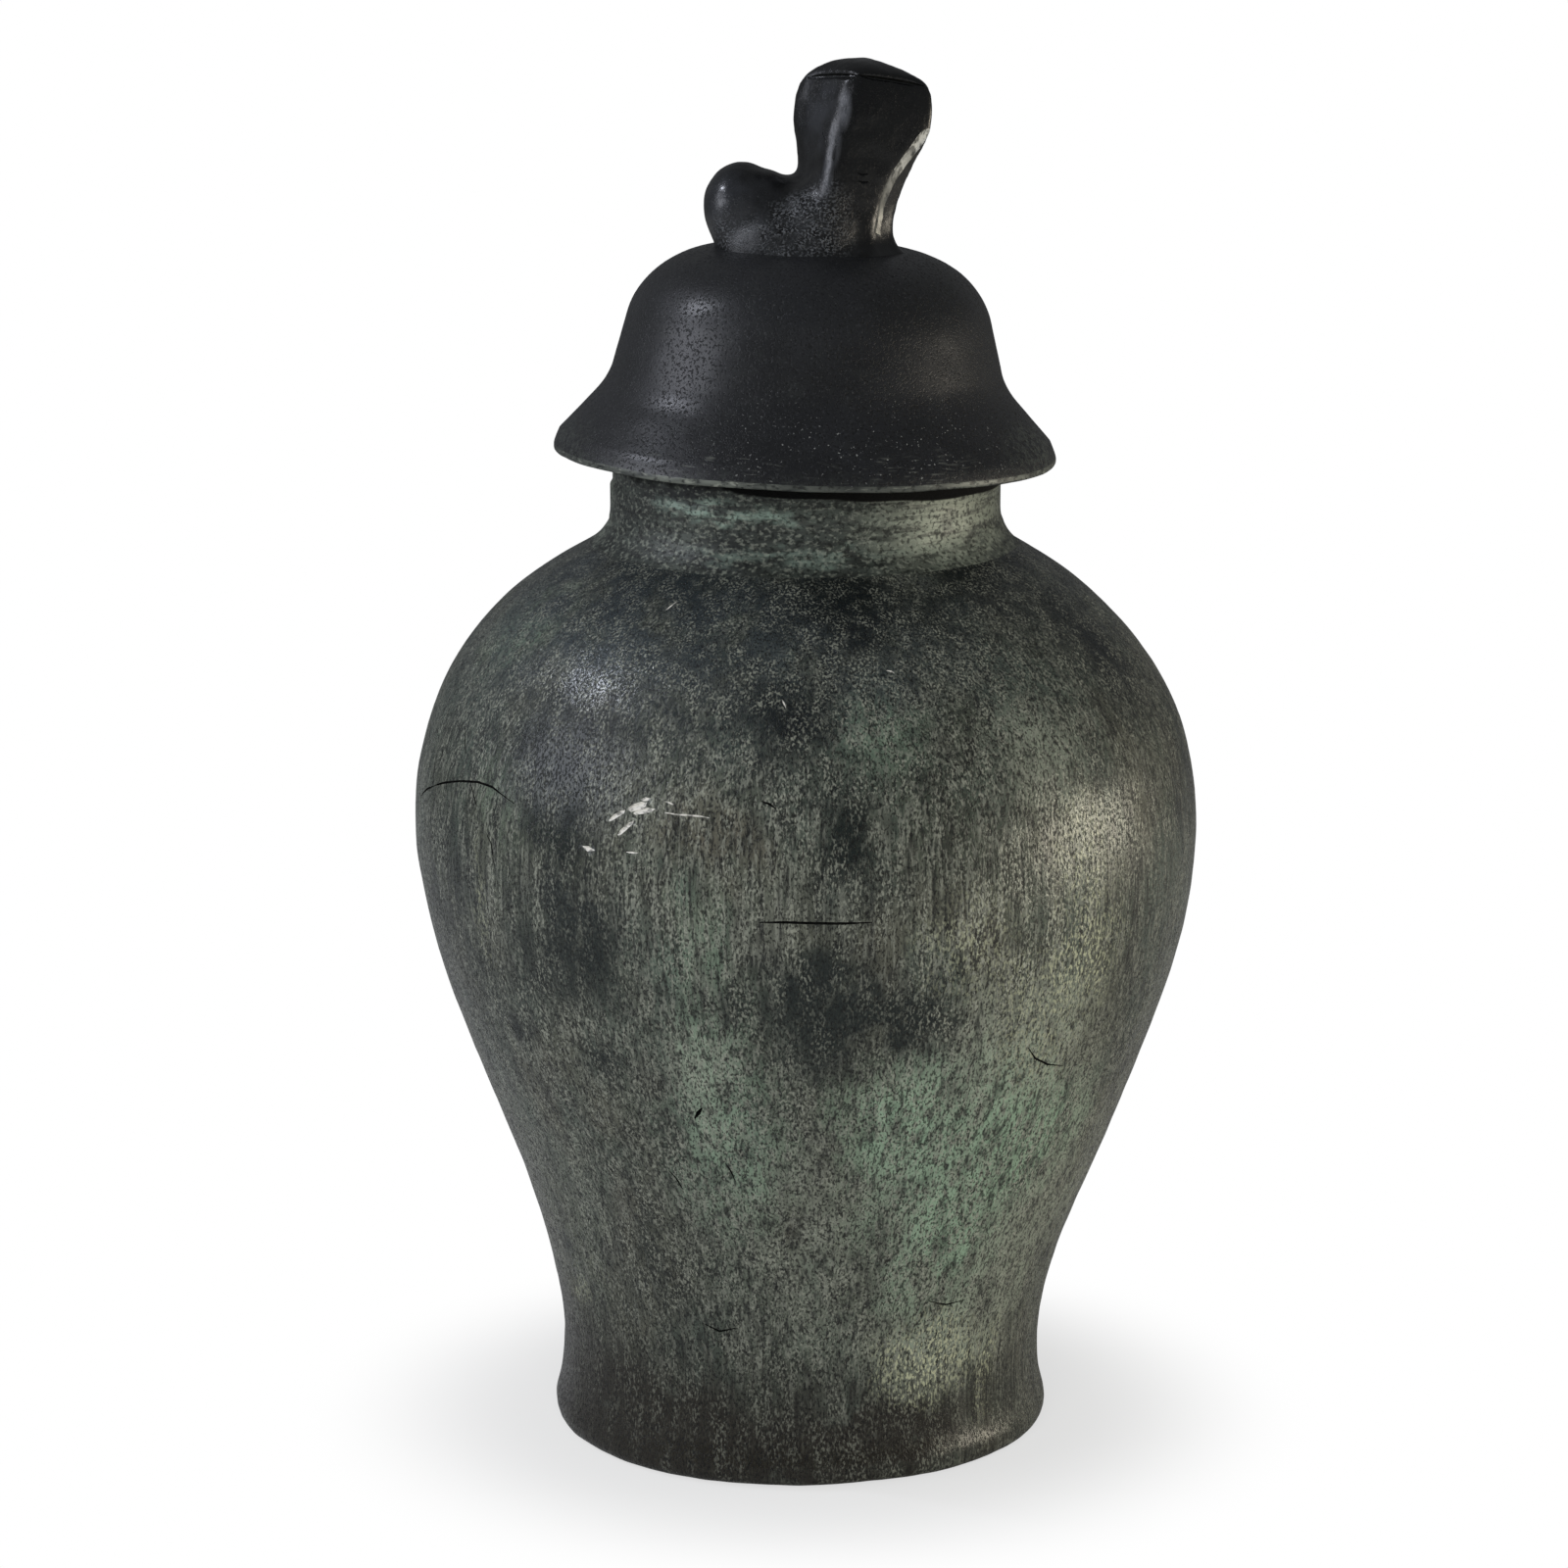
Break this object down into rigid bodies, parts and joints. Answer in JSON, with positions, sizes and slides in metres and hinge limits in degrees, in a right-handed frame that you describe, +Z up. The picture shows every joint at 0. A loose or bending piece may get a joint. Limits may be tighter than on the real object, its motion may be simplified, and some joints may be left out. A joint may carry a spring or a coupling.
{
  "type": "lidded urn",
  "caption": "Free-standing bronze urn with a small foot, swelling belly and short neck, closed by a lift-off bell-shaped lid with an abstract cast finial.",
  "frame": {"origin": "on the floor, at the centre of the round foot", "axes": "+Z up the urn's axis, -Y towards the pictured front, +X to the right in that view, where the lid sits slightly lower"},
  "size_m": [0.346, 0.346, 0.6098],
  "materials": {
    "body_bronze": "brushed and stippled dark patina with grey-green verdigris",
    "lid_bronze": "matte charcoal-black patina",
    "bare_bronze": "turned, dull",
    "cork": "pressed cork"
  },
  "bodies": {
    "urn": {"lower_body": "body_bronze", "upper_body": "body_bronze", "neck_collar": "body_bronze", "base_plate": "bare_bronze", "cork_base": "cork", "belly_pin_1": "bare_bronze", "belly_pin_2": "bare_bronze", "belly_pin_3": "bare_bronze", "belly_pin_4": "bare_bronze", "belly_pin_5": "bare_bronze", "belly_pin_6": "bare_bronze", "belly_pin_7": "bare_bronze", "belly_pin_8": "bare_bronze", "base_plate_screw_1": "bare_bronze", "base_plate_screw_2": "bare_bronze", "base_plate_screw_3": "bare_bronze", "base_plate_screw_4": "bare_bronze"},
    "seat_ring": {"cork_seat_ring": "cork"},
    "lid": {"lid_shell": "lid_bronze", "locating_ring": "bare_bronze", "finial": "lid_bronze", "finial_stud": "bare_bronze", "finial_washer": "bare_bronze", "finial_nut": "bare_bronze", "finial_dowel": "bare_bronze", "locating_ring_screw_1": "bare_bronze", "locating_ring_screw_2": "bare_bronze", "locating_ring_screw_3": "bare_bronze", "locating_ring_screw_4": "bare_bronze"}
  },
  "joints": [
    {"name": "lid_turn", "type": "hinge", "parent": "urn", "child": "seat_ring", "pos_m": [0, 0, 0.45], "axis": [0.0314, 0, 0.9995], "continuous": true},
    {"name": "lid_lift", "type": "slide", "parent": "seat_ring", "child": "lid", "axis": [0.0314, 0, 0.9995], "range_m": [0, 0.25]}
  ]
}
